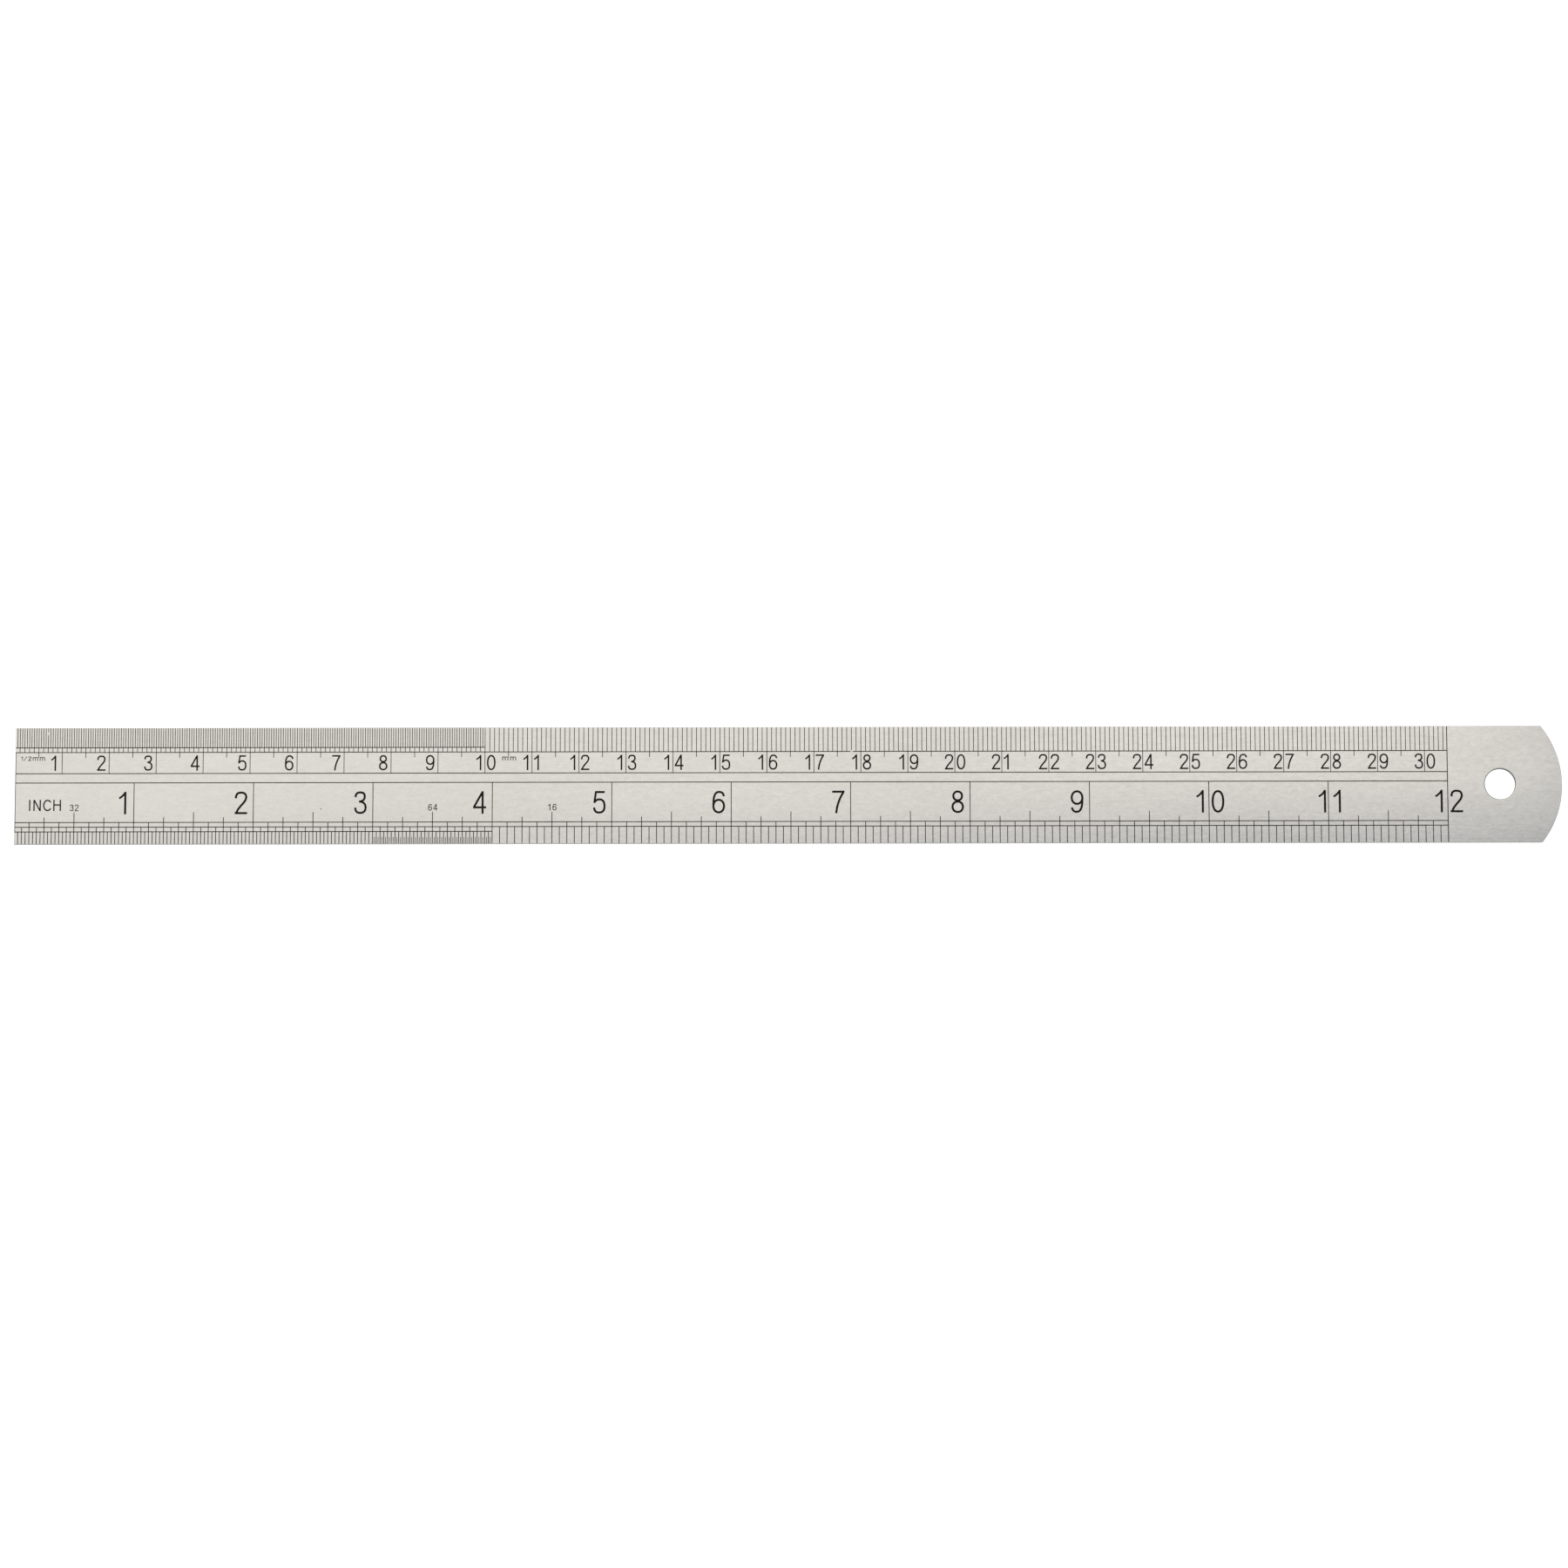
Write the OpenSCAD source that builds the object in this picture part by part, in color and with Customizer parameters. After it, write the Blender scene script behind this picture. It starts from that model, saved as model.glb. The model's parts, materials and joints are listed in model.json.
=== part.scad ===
// Steel rule: a stainless blade with a hanging hole, metric scale on one edge and
// inch scale on the other, etched into the face and filled with black enamel.
// Frame: X along the rule from the zero end to the hanging hole, Y towards the
// metric edge, Z up out of the graduated face. Origin at the middle of the
// bottom face. Millimetres.

/* [Blade] */
// Overall length, zero end to the tip of the rounded end
blade_len = 329.2; // [328:0.1:340]
// Width across the two graduated edges
blade_w = 25; // [25:0.5:27]
// Thickness of the steel strip
blade_t = 1; // [0.6:0.1:2]
// Radius of the rounded end
end_r = 20; // [16:0.5:40]
// Diameter of the hanging hole
hole_d = 6.5; // [4:0.1:7]
// Distance from the tip to the centre of the hanging hole
hole_inset = 13.2; // [10:0.1:14]
// Edge break on every outside edge and on the hole
edge_break = 0.1; // [0.05:0.01:0.12]

/* [Etching] */
// Depth of the etched lines and figures
etch_depth = 0.07; // [0.05:0.01:0.15]
// Depth of the enamel below the steel face
enamel_drop = 0.01; // [0:0.005:0.03]
// Width of a metric graduation line
mm_w = 0.145; // [0.1:0.005:0.2]
// Width of an inch graduation line
in_w = 0.17; // [0.12:0.01:0.22]
// Width of a sixty-fourth line
fine_w = 0.13; // [0.1:0.01:0.17]
// Width of a rule running along the blade
rule_w = 0.19; // [0.12:0.01:0.25]
// Width of the line across the blade at the end of the scales
end_w = 0.19; // [0.12:0.01:0.3]

/* [Metric scale] */
// Last centimetre figure
last_cm = 30; // [10:1:30]
// Centimetres divided into half millimetres, from zero
half_mm_cm = 10; // [1:1:10]
// Height of the centimetre figures
cm_figure_h = 3.3; // [2.4:0.1:3.4]
// Stroke width of the centimetre figures
cm_figure_w = 0.34; // [0.2:0.01:0.35]

/* [Inch scale] */
// Last inch figure
last_inch = 12; // [5:1:12]
// Inches divided into thirty-seconds, from zero
fine_inch = 4; // [2:1:4]
// Height of the inch figures
inch_figure_h = 4.85; // [4:0.1:5.5]
// Stroke width of the inch figures
inch_figure_w = 0.46; // [0.3:0.01:0.5]

/* [Hidden] */
inch = 25.4;
x0 = -blade_len / 2;                 // the zero end
scale_end = last_inch * inch;        // both scales stop here
cm_figures = min(last_cm, floor((scale_end - 2.6) / 10));  // centimetre figures that fit
top = blade_w / 2;
z_floor = blade_t - etch_depth;      // floor of the etching
fill_h = etch_depth - enamel_drop;
edge_y = top - edge_break;           // where the enamel stops, at the edge break
zero_w = 0.12;                       // line along the zero end
zero_s = edge_break + zero_w;        // where the rules meet it
tip_c = blade_len / 2 - end_r;       // centre of the rounded end
hole_x = blade_len / 2 - hole_inset;
e = 1;                               // overcut
// rules along the blade, from the metric edge to the inch edge
rule_half = 8.2;
rule_mm = 7.2;
rule_cm = 2.67;
rule_in = 0.67;
rule_8 = -7.8;
rule_16 = -8.8;
rule_32 = -9.8;
start_64 = -11;
tick_5mm = 6.05;       // foot of a five-millimetre tick
tick_half = -5.63;    // head of a half-inch tick
tick_quarter = -6.7;  // head of a quarter-inch tick
cm_base = 3.27;        // foot of the centimetre figures
inch_base = -6.06;    // foot of the inch figures
steel = [0.78, 0.77, 0.75];
enamel = [0.09, 0.09, 0.085];

// ---- curves and strokes ----
function arc(cx, cy, rx, ry, a, b, n) =
  [for (i = [0:n]) let(t = a + (b - a) * i / n) [cx + rx * cos(t), cy + ry * sin(t)]];
function bez(p, q, r, s, t) = let(u = 1 - t)
  u * u * u * p + 3 * u * u * t * q + 3 * u * t * t * r + t * t * t * s;
// a run of cubic curves: point, two handles, point, two handles, point ...; k steps in each
function curve(c, k) = concat([c[0]], [for (j = [0:3:len(c) - 4], i = [1:k])
  bez(c[j], c[j + 1], c[j + 2], c[j + 3], i / k)]);
function oval_at(cx, cy, rx, ry, k, t) = let(c = cos(t), s = sin(t))
  [cx + rx * sign(c) * pow(abs(c), 2 / k), cy + ry * sign(s) * pow(abs(s), 2 / k)];
function oval(cx, cy, rx, ry, k, n) = [for (i = [0:n - 1]) oval_at(cx, cy, rx, ry, k, 360 * i / n)];
function unit(v) = v / norm(v);
function mitre(a, b) = let(m = unit(a + b)) [-m[1], m[0]] / (m * a);
function side(p, i) = let(n = len(p),
  a = unit(p[i == 0 ? 1 : i] - p[i == 0 ? 0 : i - 1]),
  b = unit(p[i == n - 1 ? i : i + 1] - p[i == n - 1 ? i - 1 : i])) mitre(a, b);
function loop_side(p, i) = let(n = len(p),
  a = unit(p[i] - p[(i + n - 1) % n]), b = unit(p[(i + 1) % n] - p[i])) mitre(a, b);
// an open stroke of width w along the points p
module stroke(p, w) {
  n = len(p);
  polygon(concat([for (i = [0:n - 1]) p[i] + side(p, i) * w / 2],
                 [for (i = [n - 1:-1:0]) p[i] - side(p, i) * w / 2]));
}
// a closed ring of width w along the points p
module ring(p, w) {
  n = len(p);
  polygon(concat([for (i = [0:n - 1]) p[i] - loop_side(p, i) * w / 2],
                 [for (i = [0:n - 1]) p[i] + loop_side(p, i) * w / 2]),
    paths = [[for (i = [0:n - 1]) i], [for (i = [0:n - 1]) n + i]]);
}

// the figure 6, one high, as one outline: the hook, the bowl and the hook's inner side, with the eye as a hole
module six(w, b, s, t, k) {
  h = s / 2;
  hook = curve([[h, b], [h - 0.006, 0.79], [0.12, t], [0.295, t], [0.41, t], [w - 0.08, 0.91], [w - 0.055, 0.755]], k);
  m = len(hook);
  meet = acos((s - w / 2) / (w / 2)) - 2;       // where the bowl meets the hook's inner side
  start = [for (i = [0:m - 1]) if (hook[i][1] > b + b * sin(meet) + 0.06) i][0];
  outer = concat([for (i = [m - 1:-1:0]) hook[i] + side(hook, i) * h],
    [for (i = [1:4 * k]) oval_at(w / 2, b, w / 2, b, 2.1, 180 + (180 + meet) * i / (4 * k))],
    [for (i = [start:m - 1]) hook[i] - side(hook, i) * h]);
  eye = oval(w / 2, b, w / 2 - s, b - s, 2.1, 4 * k);
  polygon(concat(outer, eye), paths = [[for (i = [0:len(outer) - 1]) i], [for (i = [0:len(eye) - 1]) len(outer) + i]]);
}

// ---- figures and letters, one high; s is the stroke, k the steps in a curve ----
function figure_w(g) = g == "1" ? 0.33 : g == "4" ? 0.6 : g == "7" ? 0.54 : g == "0" || g == "6" || g == "9" ? 0.56 : 0.55;
module figure(g, s, k) {
  h = s / 2;
  w = figure_w(g);
  t = 1 - h;
  n = 4 * k;
  if (g == "0") ring(oval(w / 2, 0.5, w / 2 - h, 0.5 - h, 2.2, n + 4), s);
  if (g == "1") {
    stroke([[w - h, 0], [w - h, 0.998]], s);
    stroke(curve([[w - h * 1.1, 0.955], [w - 0.105, 0.86], [0.13, 0.77], [0.012, 0.7]], 3), s * 0.94);
  }
  if (g == "2") {
    stroke(curve([[h, 0.7], [h + 0.005, 0.9], [0.13, t], [0.275, t], [0.42, t], [w - h, 0.895], [w - h, 0.735],
      [w - h, 0.52], [0.15, 0.34], [h + 0.02, h]], k), s);
    stroke([[0, h], [w, h]], s);
  }
  if (g == "3") {
    stroke(curve([[h + 0.01, 0.74], [0.065, 0.915], [0.14, t], [0.265, t], [0.4, t], [w - h - 0.04, 0.9], [w - h - 0.04, 0.77],
      [w - h - 0.04, 0.63], [0.37, 0.55], [0.21, 0.55]], k), s);
    stroke(curve([[0.21, 0.55], [0.41, 0.55], [w - h, 0.44], [w - h, 0.285],
      [w - h, 0.12], [0.41, h], [0.265, h], [0.13, h], [0.055, 0.11], [h, 0.285]], k), s);
  }
  if (g == "4") {
    stroke([[w - 0.157, 0], [w - 0.157, 0.998]], s);
    stroke([[w - 0.17, 0.955], [h + 0.01, 0.285]], s);
    stroke([[h * 0.6, 0.285], [w, 0.285]], s);
  }
  if (g == "5") {
    stroke([[0.1, t], [w - 0.04, t]], s);
    stroke([[0.128, 0.998], [0.055, 0.47]], s * 0.95);
    stroke(curve([[0.055, 0.49], [0.11, 0.59], [0.19, 0.63], [0.28, 0.63], [0.44, 0.63], [w - h, 0.51], [w - h, 0.32],
      [w - h, 0.14], [0.42, h], [0.27, h], [0.13, h], [0.055, 0.1], [h, 0.275]], k), s);
  }
  if (g == "6" || g == "9") translate(g == "9" ? [w, 1] : [0, 0]) rotate(g == "9" ? 180 : 0)
    six(w, 0.325, s, t, k);
  if (g == "7") {
    stroke([[0, t], [w, t]], s);
    stroke(curve([[w - h * 0.9, 1 - h * 1.3], [0.38, 0.77], [0.205, 0.42], [0.175, 0]], k), s);
  }
  if (g == "8") {
    ring(oval(w / 2, 0.757, 0.22 - h * 0.6, 0.243 - h, 2.1, n), s);
    ring(oval(w / 2, 0.279, w / 2 - h, 0.279 - h, 2.1, n), s);
  }
  if (g == "I") stroke([[h, 0], [h, 1]], s);
  if (g == "N") {
    stroke([[h, 0], [h, 1]], s);
    stroke([[0.67 - h, 0], [0.67 - h, 1]], s);
    stroke([[h * 1.2, 0.985], [0.67 - h * 1.2, 0.015]], s * 0.95);
  }
  if (g == "C") stroke(arc(0.4, 0.5, 0.4 - h, 0.515 - h, 34, 326, 3 * k), s);
  if (g == "H") {
    stroke([[h, 0], [h, 1]], s);
    stroke([[0.69 - h, 0], [0.69 - h, 1]], s);
    stroke([[h, 0.54], [0.69 - h, 0.54]], s);
  }
  if (g == "m") {
    stroke([[h, 0], [h, 0.86]], s);
    for (i = [0, 1]) translate([i * 0.47, 0])
      stroke(concat([[h, 0.45]], arc(0.235 + h, 0.62, 0.235, 0.2, 165, 0, k), [[0.47 + h, 0]]), s);
  }
  if (g == "/") stroke([[h, 0], [0.6, 1]], s);
}
// a figure of height hgt and stroke sw, its left edge at x and its foot at y
module put(g, x, y, hgt, sw, k = 5, wide = 1) translate([x, y]) scale([hgt * wide, hgt]) figure(g, sw / hgt, k);

// ---- flat patterns; s is the distance from the zero end ----
module bar(s, y1, y2, w) translate([x0 + s - w / 2, y1]) square([w, y2 - y1]);
module rule(s1, s2, y, w = rule_w) translate([x0 + s1, y - w / 2]) square([s2 - s1, w]);

half_end = half_mm_cm * 10;
module half_millimetre_pattern(out) {
  rule(edge_break, half_end + mm_w / 2, rule_half);
  for (i = [1:2 * half_end]) bar(i / 2, rule_half, out, mm_w);
}
module millimetre_pattern(out) {
  rule(edge_break, scale_end - end_w / 2, rule_mm);
  for (i = [1:half_end]) bar(i, rule_mm, rule_half - rule_w / 2, mm_w);
  for (i = [half_end + 1:floor(scale_end - 0.3)]) bar(i, rule_mm, out, mm_w);
}
module centimetre_pattern() {
  rule(zero_s, scale_end - end_w / 2, rule_cm);
  for (i = [1:floor(scale_end / 10)]) bar(i * 10, rule_cm, rule_mm - rule_w / 2, mm_w);
}
module five_pattern() for (i = [0:floor(scale_end / 10) - 1])
  bar(i * 10 + 5, tick_5mm, rule_mm - rule_w / 2, mm_w);
module inch_pattern() {
  rule(zero_s, scale_end - end_w / 2, rule_in);
  rule(zero_s, scale_end - end_w / 2, rule_8);
  for (i = [1:last_inch - 1]) bar(i * inch, rule_8, rule_in, in_w);
  for (i = [0:last_inch - 1]) {
    bar((i + 0.5) * inch, rule_8, tick_half, in_w);
    for (q = [0.25, 0.75]) bar((i + q) * inch, rule_8, tick_quarter, in_w);
  }
}
module eighth_pattern() {
  rule(zero_s, scale_end - end_w / 2, rule_16);
  for (i = [1:8 * last_inch - 1]) bar(i * inch / 8, rule_16, rule_8 - rule_w / 2, in_w);
}
fine_end = fine_inch * inch;
module sixteenth_pattern(out) {
  for (i = [16 * fine_inch + 1:16 * last_inch - 1]) bar(i * inch / 16, -out, rule_16 - rule_w / 2, in_w);
}
module thirty_second_pattern(out) {
  rule(zero_s, fine_end + in_w / 2, rule_32);
  for (i = [1:16 * fine_inch]) bar(i * inch / 16, rule_32, rule_16 - rule_w / 2, in_w);
  for (i = [1:32 * fine_inch]) bar(i * inch / 32, -out, rule_32, in_w);
}
module sixty_fourth_pattern(out) {
  for (i = [0:31]) bar(fine_end - inch + (i + 0.5) * inch / 32, -out, start_64, fine_w);
}
module zero_pattern() translate([x0 + edge_break, rule_32 - rule_w / 2]) square([zero_w, rule_mm - rule_32]);
module end_pattern(out) bar(scale_end, -out, out, end_w);

// metric figures: one digit stands left of its line, two digits stand either side
module centimetre_figure_pattern() {
  for (i = [1:cm_figures]) {
    t = str(i);
    a = t[0];
    gap = len(t) == 1 ? (a == "1" ? 1.28 : 0.76) : (a == "1" ? 0.78 : 0.31);
    put(a, x0 + i * 10 - gap - figure_w(a) * cm_figure_h, cm_base, cm_figure_h, cm_figure_w);
    if (len(t) == 2)
      put(t[1], x0 + i * 10 + (t[1] == "4" ? 0.28 : 0.4), cm_base, cm_figure_h, cm_figure_w);
  }
}
// inch figures, laid out the same way
module inch_figure_pattern() {
  for (i = [1:last_inch]) {
    t = str(i);
    a = t[0];
    gap = len(t) == 1 ? (a == "1" ? 1.62 : 1.3) : (i == 11 ? 0.5 : 1.08);
    put(a, x0 + i * inch - gap - figure_w(a) * inch_figure_h, inch_base, inch_figure_h, inch_figure_w);
    if (len(t) == 2)
      put(t[1], x0 + i * inch + (i == 11 ? 1.05 : 0.55), inch_base, inch_figure_h, inch_figure_w);
  }
}
// small labels
module half_mm_label_pattern() {
  y = 5.42;
  put("1", x0 + 1.3, y, 0.95, 0.14, 3);
  put("/", x0 + 1.83, y, 0.95, 0.12, 3, 1.1);
  put("2", x0 + 2.72, y, 0.95, 0.14, 3, 1.4);
  put("m", x0 + 3.72, y, 0.95, 0.14, 3, 1.1);
  put("m", x0 + 5.22, y, 0.95, 0.14, 3, 1.1);
}
module mm_label_pattern() {
  put("m", x0 + half_end + 3.66, 5.35, 0.98, 0.15, 3, 1.2);
  put("m", x0 + half_end + 5.34, 5.35, 0.98, 0.15, 3, 1.2);
}
module inch_label_pattern() {
  y = -5.32;
  put("I", x0 + 3.1, y, 2.4, 0.29);
  put("N", x0 + 4.02, y, 2.4, 0.29);
  put("C", x0 + 6.08, y, 2.4, 0.29);
  put("H", x0 + 8.25, y, 2.4, 0.29);
}
module pair(a, b, s) {
  put(a, x0 + s - (a == "1" ? 0.34 : 0.1) - figure_w(a) * 1.42 * 1.07, -5.36, 1.42, 0.17, 3, 1.07);
  put(b, x0 + s + 0.11, -5.36, 1.42, 0.17, 3, 1.07);
}
module fraction_label_pattern() {
  pair("3", "2", 0.5 * inch);
  pair("6", "4", (fine_inch - 0.5) * inch);
  pair("1", "6", (fine_inch + 0.5) * inch);
}

// ---- solids ----
module fill() color(enamel) translate([0, 0, z_floor]) linear_extrude(fill_h) children();
module cut() translate([0, 0, z_floor]) linear_extrude(etch_depth + e) children();

module half_millimetre_marks() fill() half_millimetre_pattern(edge_y);
module millimetre_marks() fill() millimetre_pattern(edge_y);
module centimetre_lines() fill() { centimetre_pattern(); five_pattern(); }
module centimetre_figures() fill() centimetre_figure_pattern();
module half_millimetre_label() fill() half_mm_label_pattern();
module millimetre_label() fill() mm_label_pattern();
module inch_lines() fill() inch_pattern();
module eighth_inch_marks() fill() eighth_pattern();
module sixteenth_inch_marks() fill() sixteenth_pattern(edge_y);
module thirty_second_inch_marks() fill() thirty_second_pattern(edge_y);
module sixty_fourth_inch_marks() fill() sixty_fourth_pattern(edge_y);
module inch_figures() fill() inch_figure_pattern();
module inch_label() fill() inch_label_pattern();
module fraction_labels() fill() fraction_label_pattern();
module zero_line() fill() zero_pattern();
module scale_end_line() fill() end_pattern(edge_y);

// a triangular prism that breaks a straight edge, along +X from the origin
module straight_break(l) rotate([90, 0, 90]) linear_extrude(l)
  polygon([[-edge_break - e, e], [e, e], [e, -edge_break - e]]);
module blank() {
  difference() {
    union() {
      translate([x0, -top, 0]) cube([tip_c - x0, blade_w, blade_t]);
      intersection() {
        translate([tip_c - 1, -top, 0]) cube([end_r + 2, blade_w, blade_t]);
        translate([tip_c, 0, 0]) cylinder(r = end_r, h = blade_t, $fn = 180);
      }
    }
    // long edges, upper and lower
    for (m = [0, 1]) mirror([0, m, 0]) {
      translate([x0 - e, top, blade_t]) straight_break(blade_len + 2 * e);
      translate([x0 - e, top, 0]) mirror([0, 0, 1]) straight_break(blade_len + 2 * e);
    }
    // zero end, upper and lower
    translate([x0, -top - e, blade_t]) rotate(90) straight_break(blade_w + 2 * e);
    translate([x0, -top - e, 0]) mirror([0, 0, 1]) rotate(90) straight_break(blade_w + 2 * e);
    // rounded end, upper and lower
    for (m = [0, 1]) translate([tip_c, 0, m * blade_t]) mirror([0, 0, 1 - m]) rotate(-60)
      rotate_extrude(angle = 120, $fn = 180)
        polygon([[end_r - edge_break - e, e], [end_r + e, e], [end_r + e, -edge_break - e]]);
    // hanging hole
    translate([hole_x, 0, -e]) cylinder(d = hole_d, h = blade_t + 2 * e, $fn = 96);
    for (m = [0, 1]) translate([hole_x, 0, m * blade_t]) mirror([0, 0, 1 - m])
      translate([0, 0, -edge_break]) cylinder(r1 = hole_d / 2, r2 = hole_d / 2 + edge_break + e, h = edge_break + e, $fn = 96);
  }
}
module steel_blade() color(steel) difference() {
  blank();
  out = top + e;
  cut() half_millimetre_pattern(out);
  cut() millimetre_pattern(out);
  cut() centimetre_pattern();
  cut() five_pattern();
  cut() inch_pattern();
  cut() eighth_pattern();
  cut() sixteenth_pattern(out);
  cut() thirty_second_pattern(out);
  cut() sixty_fourth_pattern(out);
  cut() end_pattern(out);
  cut() zero_pattern();
  cut() centimetre_figure_pattern();
  cut() inch_figure_pattern();
  cut() half_mm_label_pattern();
  cut() mm_label_pattern();
  cut() inch_label_pattern();
  cut() fraction_label_pattern();
}

steel_blade();
half_millimetre_marks();
millimetre_marks();
centimetre_lines();
centimetre_figures();
half_millimetre_label();
millimetre_label();
inch_lines();
eighth_inch_marks();
sixteenth_inch_marks();
thirty_second_inch_marks();
sixty_fourth_inch_marks();
inch_figures();
inch_label();
fraction_labels();
zero_line();
scale_end_line();
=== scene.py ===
import json
import math

import bmesh
import bpy
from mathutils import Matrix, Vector


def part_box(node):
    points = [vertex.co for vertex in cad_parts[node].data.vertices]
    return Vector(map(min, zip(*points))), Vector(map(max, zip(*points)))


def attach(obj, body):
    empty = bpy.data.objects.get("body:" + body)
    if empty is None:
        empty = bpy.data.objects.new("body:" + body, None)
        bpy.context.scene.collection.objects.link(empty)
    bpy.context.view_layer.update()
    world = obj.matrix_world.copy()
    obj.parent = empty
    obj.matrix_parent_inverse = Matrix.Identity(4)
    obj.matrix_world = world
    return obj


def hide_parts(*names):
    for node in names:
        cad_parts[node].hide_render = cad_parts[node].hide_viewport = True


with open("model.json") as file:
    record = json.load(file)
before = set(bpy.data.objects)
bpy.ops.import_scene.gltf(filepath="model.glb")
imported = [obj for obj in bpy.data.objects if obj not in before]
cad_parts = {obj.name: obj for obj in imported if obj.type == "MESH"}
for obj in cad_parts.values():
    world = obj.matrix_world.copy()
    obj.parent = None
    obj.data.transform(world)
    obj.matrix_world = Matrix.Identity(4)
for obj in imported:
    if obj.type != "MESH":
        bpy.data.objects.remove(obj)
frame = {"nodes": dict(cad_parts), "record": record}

scene = bpy.context.scene
nodes = frame["nodes"]
MM = 0.001
ENAMEL = [n for n in nodes if n != "steel_blade"]


bpy.context.view_layer.update()

# ---------------------------------------------------------------- camera
cam_data = bpy.data.cameras.new("camera")
cam_data.sensor_width = 36.0
cam_data.lens = 107.919
cam_data.clip_start, cam_data.clip_end = 0.01, 200.0
cam = bpy.data.objects.new("camera", cam_data)
scene.collection.objects.link(cam)
tilt = math.radians(6.92)
target = Vector((-1.154, 0.224, 1.0)) * MM
cam.location = target + Vector((0, -math.sin(tilt), math.cos(tilt)))
cam.rotation_euler = (tilt, 0.0, math.radians(-0.09))
scene.camera = cam

# ---------------------------------------------------------------- the blade
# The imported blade's shape, built again with a finer rounded end and hole and with rounded edges, inside the same box.
lo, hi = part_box("steel_blade")
HALF = (hi.y - lo.y) / 2
MID = (hi.y + lo.y) / 2
END_R = 20 * MM
BREAK = 0.1 * MM
bore = next(m for m in frame["record"]["mounts"] if m["name"] == "hanging_hole")
HOLE, HOLE_R = Vector(bore["pos_m"]), bore["dims"]["r_mm"] * MM
TIP_C = hi.x - END_R


def edge_profile(steps, wide=BREAK, deep=BREAK):
    """(inset, height) from the bottom face to the top face, with both edges rounded."""
    low = [(wide * (1 - math.sin(a)), lo.z + deep * (1 - math.cos(a)))
           for a in (math.pi / 2 * i / steps for i in range(steps + 1))]
    return low + [(d, lo.z + hi.z - z) for d, z in reversed(low)]


def outline(inset, arc_steps=96):
    h, r = HALF - inset, END_R - inset
    a = math.asin(h / r)
    pts = [(lo.x + inset, MID + h), (lo.x + inset, MID - h)]
    pts += [(TIP_C + r * math.cos(t), MID + r * math.sin(t))
            for t in (-a + 2 * a * i / arc_steps for i in range(arc_steps + 1))]
    return pts


def loft(name, rings):
    """A closed solid through rings of equally many points, from the lowest to the highest."""
    bm = bmesh.new()
    made = [[bm.verts.new(p) for p in ring] for ring in rings]
    n = len(made[0])
    for a, b in zip(made, made[1:]):
        for i in range(n):
            bm.faces.new((a[i], a[(i + 1) % n], b[(i + 1) % n], b[i]))
    bm.faces.new(reversed(made[0]))
    bm.faces.new(made[-1])
    bmesh.ops.recalc_face_normals(bm, faces=bm.faces)
    mesh = bpy.data.meshes.new(name)
    bm.to_mesh(mesh)
    bm.free()
    ob = bpy.data.objects.new(name, mesh)
    scene.collection.objects.link(ob)
    return ob


blade = loft("blade", [[(x, y, z) for x, y in outline(d)] for d, z in edge_profile(4)])
ROLL = 0.27 * MM                            # the punch rolls the hole's edge over
hole_profile = [(ROLL, lo.z - MM)] + edge_profile(6, ROLL, 0.14 * MM) + [(ROLL, hi.z + MM)]
cutters = [loft("hole_cutter", [
    [(HOLE.x + (HOLE_R + d) * math.cos(t), HOLE.y + (HOLE_R + d) * math.sin(t), z)
     for t in (2 * math.pi * i / 128 for i in range(128))] for d, z in hole_profile])]
for n in ENAMEL:
    bm = bmesh.new()
    bm.from_mesh(nodes[n].data)
    bmesh.ops.remove_doubles(bm, verts=bm.verts, dist=2e-7)
    top_z = max(v.co.z for v in bm.verts)
    for v in bm.verts:
        if v.co.z > top_z - 1e-6:
            v.co.z = hi.z + MM
        if abs(v.co.y - MID) > HALF - BREAK - 1e-6:
            v.co.y = MID + math.copysign(HALF + MM, v.co.y - MID)
    mesh = bpy.data.meshes.new("cut_" + n)
    bm.to_mesh(mesh)
    bm.free()
    ob = bpy.data.objects.new("cut_" + n, mesh)
    scene.collection.objects.link(ob)
    cutters.append(ob)


def volume(mesh):
    """The mesh's volume, or None if it isn't closed."""
    bm = bmesh.new()
    bm.from_mesh(mesh)
    v = bm.calc_volume() if all(e.is_manifold for e in bm.edges) else None
    bm.free()
    return v


def cut_with(solver):
    for c in cutters:
        mod = blade.modifiers.new(c.name, "BOOLEAN")
        mod.operation, mod.object, mod.solver = "DIFFERENCE", c, solver
    bpy.context.view_layer.update()
    dg = bpy.context.evaluated_depsgraph_get()
    mesh = bpy.data.meshes.new_from_object(blade.evaluated_get(dg), depsgraph=dg)
    blade.modifiers.clear()
    return mesh


def flat_area(mesh):
    """The area that a mesh's faces cover from above."""
    return sum(p.area * p.normal.z for p in mesh.polygons if p.normal.z > 0)


# every mark must be cut: the blade loses each mark's area times the depth of the etching
cut = cut_with("MANIFOLD")
DEPTH = hi.z - min(v.co.z for v in nodes[ENAMEL[0]].data.vertices)
lost = sum(flat_area(nodes[n].data) for n in ENAMEL) * DEPTH + math.pi * HOLE_R ** 2 * (hi.z - lo.z)
left = volume(cut)
if left is None or abs(volume(blade.data) - left - lost) > 0.03 * lost:
    cut = cut_with("EXACT")
blade.data = cut
for c in cutters:
    bpy.data.objects.remove(c)
blade.name = cut.name = "blade"
cut.set_sharp_from_angle(angle=math.radians(8))
for p in cut.polygons:
    p.use_smooth = abs(p.normal.z) < 0.2        # the walls; the faces and the rounded edges stay flat-shaded
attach(blade, "root")
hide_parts("steel_blade")


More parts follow.
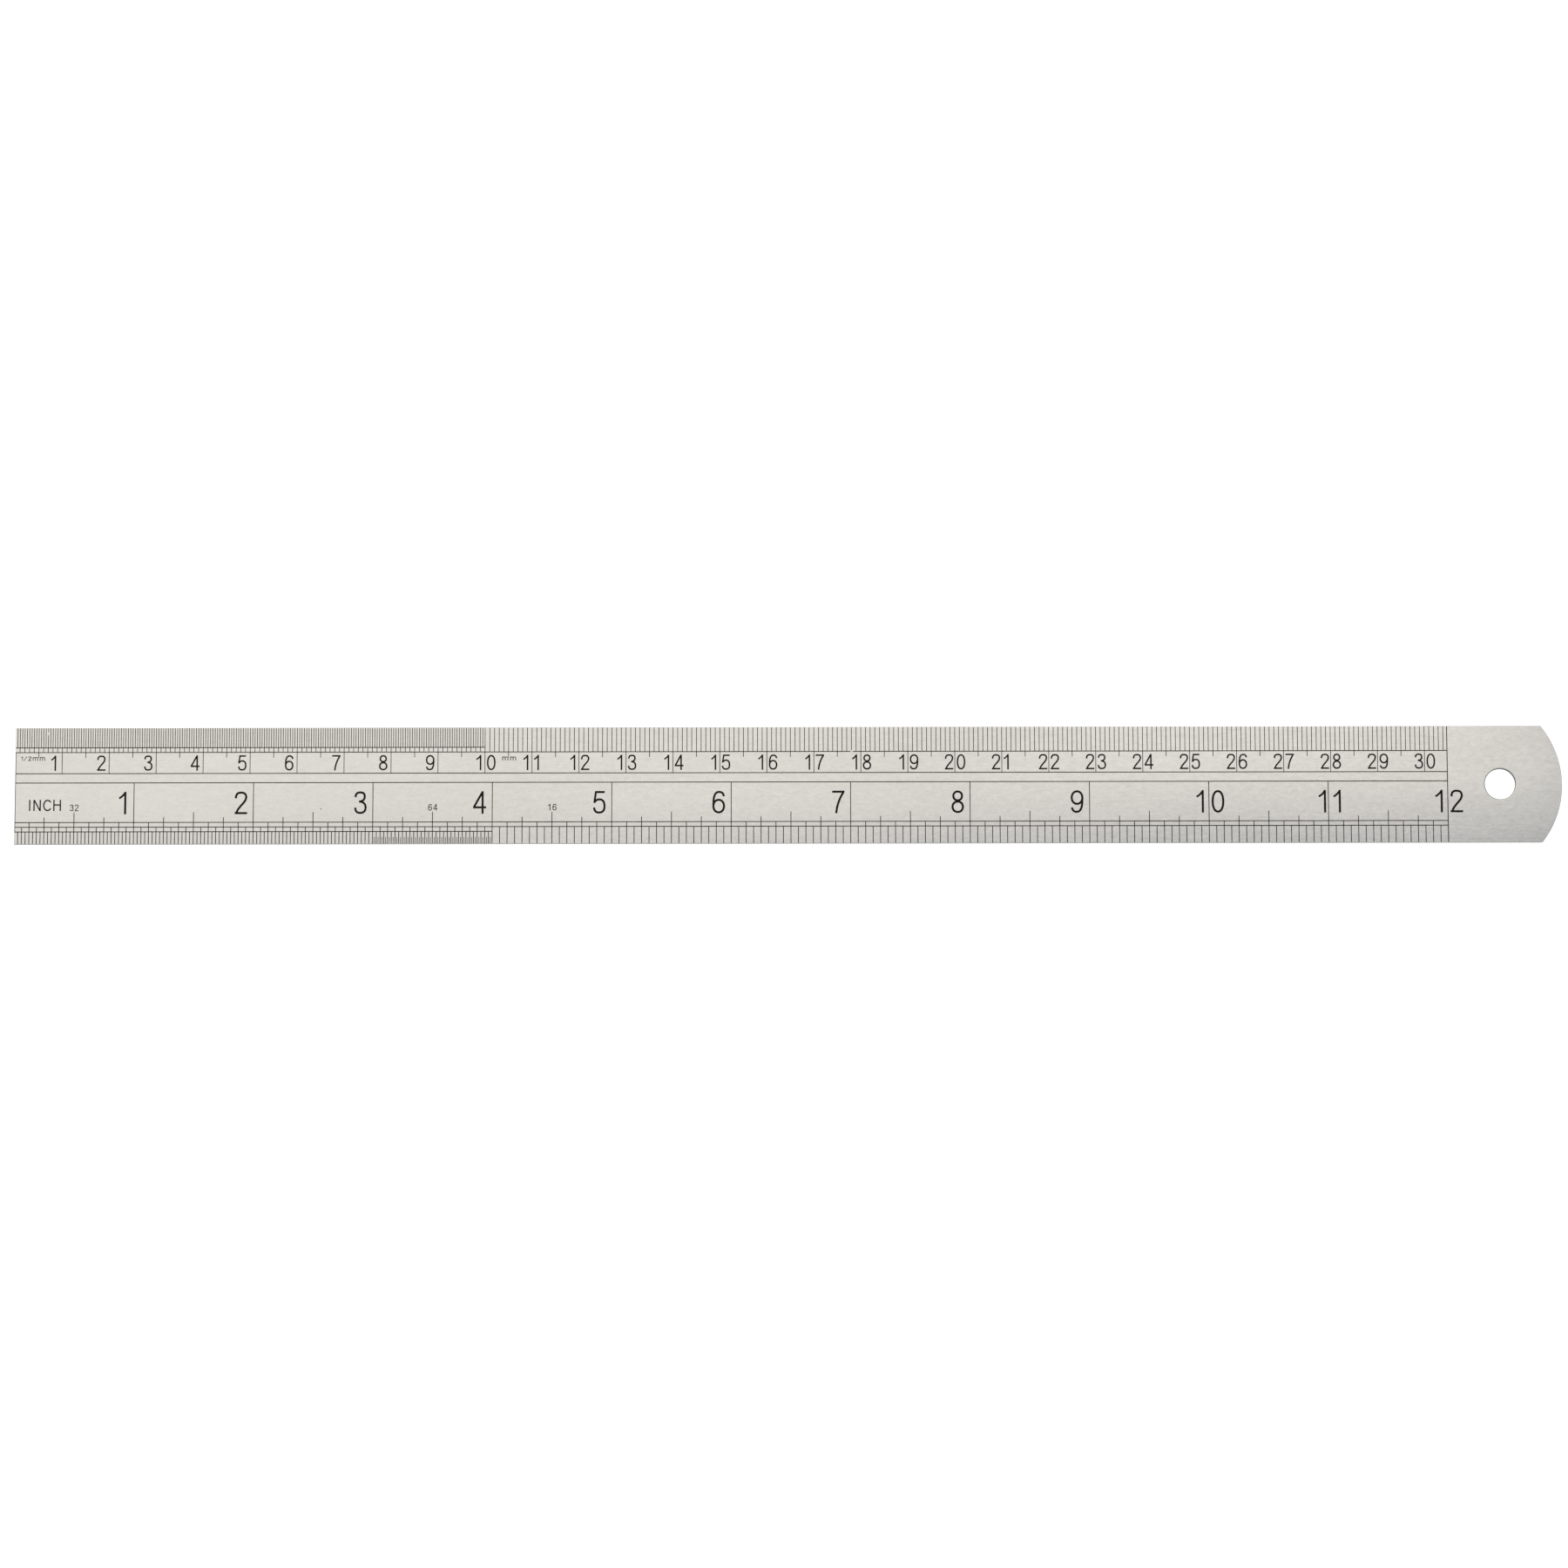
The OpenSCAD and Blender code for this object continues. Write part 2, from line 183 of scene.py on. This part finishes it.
# ---------------------------------------------------------------- materials
class Graph:
    """Short names for building a material's nodes."""

    def __init__(self, name):
        self.mat = bpy.data.materials.new(name)
        self.mat.use_nodes = True
        self.nt = self.mat.node_tree
        self.bsdf = self.nt.nodes["Principled BSDF"]

    def put(self, socket, v):
        if hasattr(v, "is_output"):
            self.nt.links.new(v, socket)
        else:
            socket.default_value = v

    def math(self, op, a, b=0.0, clamp=False):
        n = self.nt.nodes.new("ShaderNodeMath")
        n.operation, n.use_clamp = op, clamp
        self.put(n.inputs[0], a)
        self.put(n.inputs[1], b)
        return n.outputs[0]

    def ramp(self, value, low, high, to_low=0.0, to_high=1.0, smooth=False):
        n = self.nt.nodes.new("ShaderNodeMapRange")
        n.clamp = True
        if smooth:
            n.interpolation_type = "SMOOTHSTEP"
        for i, v in enumerate((value, low, high, to_low, to_high)):
            self.put(n.inputs[i], v)
        return n.outputs[0]

    def mix(self, factor, a, b):
        n = self.nt.nodes.new("ShaderNodeMix")
        n.data_type = "RGBA"
        self.put(n.inputs[0], factor)
        self.put(n.inputs[6], a)
        self.put(n.inputs[7], b)
        return n.outputs[2]

    def place(self, scale, offset=(0, 0, 0)):
        """Object coordinates in metres, scaled and shifted."""
        c = self.nt.nodes.new("ShaderNodeTexCoord")
        m = self.nt.nodes.new("ShaderNodeMapping")
        self.nt.links.new(c.outputs["Object"], m.inputs["Vector"])
        m.inputs["Scale"].default_value = scale
        m.inputs["Location"].default_value = offset
        return m.outputs[0]

    def within(self, at, radius, soft):
        """1 nearer than the radius to the upright line through a point, falling to 0 over the width soft."""
        n = self.nt.nodes.new("ShaderNodeVectorMath")
        n.operation = "LENGTH"
        self.nt.links.new(self.place((1, 1, 0), (-at[0], -at[1], 0)), n.inputs[0])
        return self.ramp(n.outputs["Value"], radius + soft, radius)

    def noise(self, vector, scale=1.0, detail=2.0, rough=0.5, distort=0.0):
        n = self.nt.nodes.new("ShaderNodeTexNoise")
        self.nt.links.new(vector, n.inputs["Vector"])
        n.inputs["Scale"].default_value = scale
        n.inputs["Detail"].default_value = detail
        n.inputs["Roughness"].default_value = rough
        n.inputs["Distortion"].default_value = distort
        return n.outputs[0]


def rgb(r, g, b):
    return (r, g, b, 1.0)


# wear: a dark pit in the steel, and two places where the enamel has come out
PIT = (-99.47 * MM, -4.93 * MM)
CHIPS = [((-157.72 * MM, 11.22 * MM), 0.3 * MM), ((13.45 * MM, 7.2 * MM), 0.24 * MM)]


def brushed_steel():
    g = Graph("brushed_steel")
    geo = g.nt.nodes.new("ShaderNodeNewGeometry")
    split = g.nt.nodes.new("ShaderNodeSeparateXYZ")
    g.nt.links.new(geo.outputs["Normal"], split.inputs[0])
    face = g.ramp(g.math("ABSOLUTE", split.outputs[2]), 0.35, 0.9)      # 1 on the faces, 0 on the edges
    fine = g.noise(g.place((420, 4600, 4600)), 1.0, 3.0, 0.6)           # the brushing, along the blade
    line = g.noise(g.place((70, 2100, 2100), (3, 1, 2)), 1.0, 2.0, 0.5)  # longer strokes
    mottle = g.noise(g.place((750, 1300, 1300), (7, 5, 1)), 1.0, 3.0, 0.6, 0.8)
    cloud = g.noise(g.place((22, 60, 60), (1, 9, 4)), 1.0, 3.0, 0.5, 0.4)
    tone = g.math("ADD", g.math("MULTIPLY", fine, 0.28), g.math("MULTIPLY", line, 0.20))
    tone = g.math("ADD", tone, g.math("MULTIPLY", mottle, 0.36))
    tone = g.math("ADD", tone, g.math("MULTIPLY", cloud, 0.16))
    tone = g.ramp(tone, 0.36, 0.64)
    # the finish is a little smoother at the zero end
    along = g.nt.nodes.new("ShaderNodeSeparateXYZ")
    g.nt.links.new(g.place((1, 1, 1)), along.inputs[0])
    depth = g.ramp(along.outputs[0], -120 * MM, 150 * MM, 0.7, 1.15)
    tone = g.math("ADD", g.math("MULTIPLY", g.math("SUBTRACT", tone, 0.5), depth), 0.5, clamp=True)
    top = g.mix(tone, rgb(0.544, 0.542, 0.534), rgb(0.684, 0.680, 0.671))
    # sheared edges are duller, and their corners are polished by handling
    grit = g.noise(g.place((900, 900, 2600), (2, 2, 8)), 1.0, 4.0, 0.6)
    side = g.mix(grit, rgb(0.20, 0.195, 0.185), rgb(0.40, 0.385, 0.365))
    # painted shade: the hole's punched wall and rolled edge are painted near black. They are duller than the faces, and
    # are darkened further to stand in for the shade in and round the hole
    hole_painted_shade = g.within((HOLE.x, HOLE.y), HOLE_R + 0.4 * MM, 0.1 * MM)
    side = g.mix(hole_painted_shade, side, g.mix(grit, rgb(0.02, 0.0196, 0.019), rgb(0.06, 0.058, 0.055)))
    flatness = g.ramp(g.math("ABSOLUTE", split.outputs[2]), 0.6, 0.985)
    # the rolled edge of the hole takes the painted shade too, up to where it turns flat
    face = g.math("MULTIPLY", face, g.math("MAXIMUM", flatness, g.math("SUBTRACT", 1.0, hole_painted_shade)))
    pit = g.math("MULTIPLY", g.within(PIT, 0.08 * MM, 0.1 * MM), g.ramp(split.outputs[2], 0.5, 0.9))
    top = g.mix(pit, top, rgb(0.10, 0.098, 0.095))
    g.put(g.bsdf.inputs["Base Color"], g.mix(face, side, top))
    rough_top = g.ramp(g.math("ADD", g.math("MULTIPLY", line, 0.5), g.math("MULTIPLY", fine, 0.5)), 0.3, 0.7, 0.21, 0.29)
    rough = g.nt.nodes.new("ShaderNodeMix")
    rough.data_type = "FLOAT"
    g.put(rough.inputs[0], face)
    g.put(rough.inputs[2], g.ramp(grit, 0.3, 0.7, 0.38, 0.55))
    g.put(rough.inputs[3], rough_top)
    g.put(g.bsdf.inputs["Roughness"], rough.outputs[0])
    g.bsdf.inputs["Metallic"].default_value = 1.0
    bump = g.nt.nodes.new("ShaderNodeBump")
    bump.inputs["Strength"].default_value = 0.35
    bump.inputs["Distance"].default_value = 0.000004
    peel = g.noise(g.place((900, 1500, 1500), (5, 3, 8)), 1.0, 3.0, 0.6)   # slight unevenness of the rolled strip
    g.put(bump.inputs["Height"], g.math("ADD", g.math("ADD", fine, g.math("MULTIPLY", line, 0.6)), g.math("MULTIPLY", g.math("MULTIPLY", peel, 5.5), depth)))
    g.put(g.bsdf.inputs["Normal"], bump.outputs[0])
    return g.mat


def black_enamel():
    g = Graph("black_enamel")
    grain = g.noise(g.place((3000, 3000, 3000), (4, 2, 6)), 1.0, 3.0, 0.6)
    thin = g.noise(g.place((700, 900, 900), (8, 3, 5)), 1.0, 2.0, 0.5)
    tone = g.ramp(g.math("ADD", g.math("MULTIPLY", grain, 0.6), g.math("MULTIPLY", thin, 0.4)), 0.35, 0.68)
    bare = g.within(CHIPS[0][0], CHIPS[0][1], 0.06 * MM)
    for at, r in CHIPS[1:]:
        bare = g.math("MAXIMUM", bare, g.within(at, r, 0.06 * MM))
    black = g.mix(tone, rgb(0.0035, 0.0032, 0.0026), rgb(0.012, 0.0112, 0.0098))
    g.put(g.bsdf.inputs["Base Color"], g.mix(bare, black, rgb(0.58, 0.578, 0.57)))
    g.put(g.bsdf.inputs["Metallic"], bare)
    g.put(g.bsdf.inputs["Roughness"], g.math("SUBTRACT", g.ramp(grain, 0.3, 0.7, 0.5, 0.68), g.math("MULTIPLY", bare, 0.3)))
    g.bsdf.inputs["Specular IOR Level"].default_value = 0.12
    bump = g.nt.nodes.new("ShaderNodeBump")
    bump.inputs["Strength"].default_value = 0.3
    bump.inputs["Distance"].default_value = 0.000003
    g.put(bump.inputs["Height"], grain)
    g.put(g.bsdf.inputs["Normal"], bump.outputs[0])
    return g.mat


steel = brushed_steel()
enamel = black_enamel()
blade.data.materials.clear()
blade.data.materials.append(steel)
for p in blade.data.polygons:
    p.material_index = 0
for slot in nodes["steel_blade"].material_slots:
    slot.material = steel
for n in ENAMEL:
    for slot in nodes[n].material_slots:
        slot.material = enamel

# ---------------------------------------------------------------- floor and light
floor_mesh = bpy.data.meshes.new("floor")
s = 60.0
floor_mesh.from_pydata([(-s, -s, 0), (s, -s, 0), (s, s, 0), (-s, s, 0)], [], [(0, 1, 2, 3)])
floor = bpy.data.objects.new("floor", floor_mesh)
floor.location.z = lo.z - 0.00002
scene.collection.objects.link(floor)
fmat = bpy.data.materials.new("floor")
fmat.use_nodes = True
fb = fmat.node_tree.nodes["Principled BSDF"]
fb.inputs["Base Color"].default_value = (0.9, 0.9, 0.9, 1)
fb.inputs["Roughness"].default_value = 0.9
fb.inputs["Specular IOR Level"].default_value = 0.0
fb.inputs["Emission Color"].default_value = (1, 1, 1, 1)
fb.inputs["Emission Strength"].default_value = 0.8
floor_mesh.materials.append(fmat)

# a pale studio, darker and cooler overhead than round the sides
world = bpy.data.worlds.new("studio")
scene.world = world
world.use_nodes = True
wt = world.node_tree
bg = wt.nodes["Background"]
coord = wt.nodes.new("ShaderNodeTexCoord")
height = wt.nodes.new("ShaderNodeSeparateXYZ")
wt.links.new(coord.outputs["Generated"], height.inputs[0])
sky = wt.nodes.new("ShaderNodeValToRGB")
wt.links.new(height.outputs[2], sky.inputs[0])
sky.color_ramp.interpolation = "EASE"
sky.color_ramp.elements[0].position, sky.color_ramp.elements[0].color = 0.45, (0.68, 0.68, 0.68, 1)
sky.color_ramp.elements[1].position, sky.color_ramp.elements[1].color = 0.85, (0.404, 0.434, 0.464, 1)
wt.links.new(sky.outputs[0], bg.inputs["Color"])
bg.inputs["Strength"].default_value = 1.0


def softbox(name, low, high, height, turn, radiance, colour):
    """A horizontal softbox facing down over the rectangle from low to high, turned about the point (0, low.y)."""
    data = bpy.data.lights.new(name, "AREA")
    data.shape = "RECTANGLE"
    data.size, data.size_y = high[0] - low[0], high[1] - low[1]
    data.energy = radiance * math.pi * data.size * data.size_y
    data.color = colour
    ob = bpy.data.objects.new(name, data)
    cx, cy = (low[0] + high[0]) / 2, (high[1] - low[1]) / 2
    c, s = math.cos(turn), math.sin(turn)
    ob.location = (cx * c - cy * s, low[1] + cx * s + cy * c, height)
    ob.rotation_euler = (0, 0, turn)
    ob.visible_camera = False
    scene.collection.objects.link(ob)
    return ob


softbox("softbox", (-0.29, -0.0048), (0.193, 0.13), 0.121, math.radians(2.32), 0.74, (1.100, 1.0, 0.872))

scene.view_settings.view_transform = "Standard"
scene.view_settings.look = "None"
scene.view_settings.exposure = 0.0
scene.view_settings.gamma = 1.0

bpy.context.view_layer.update()
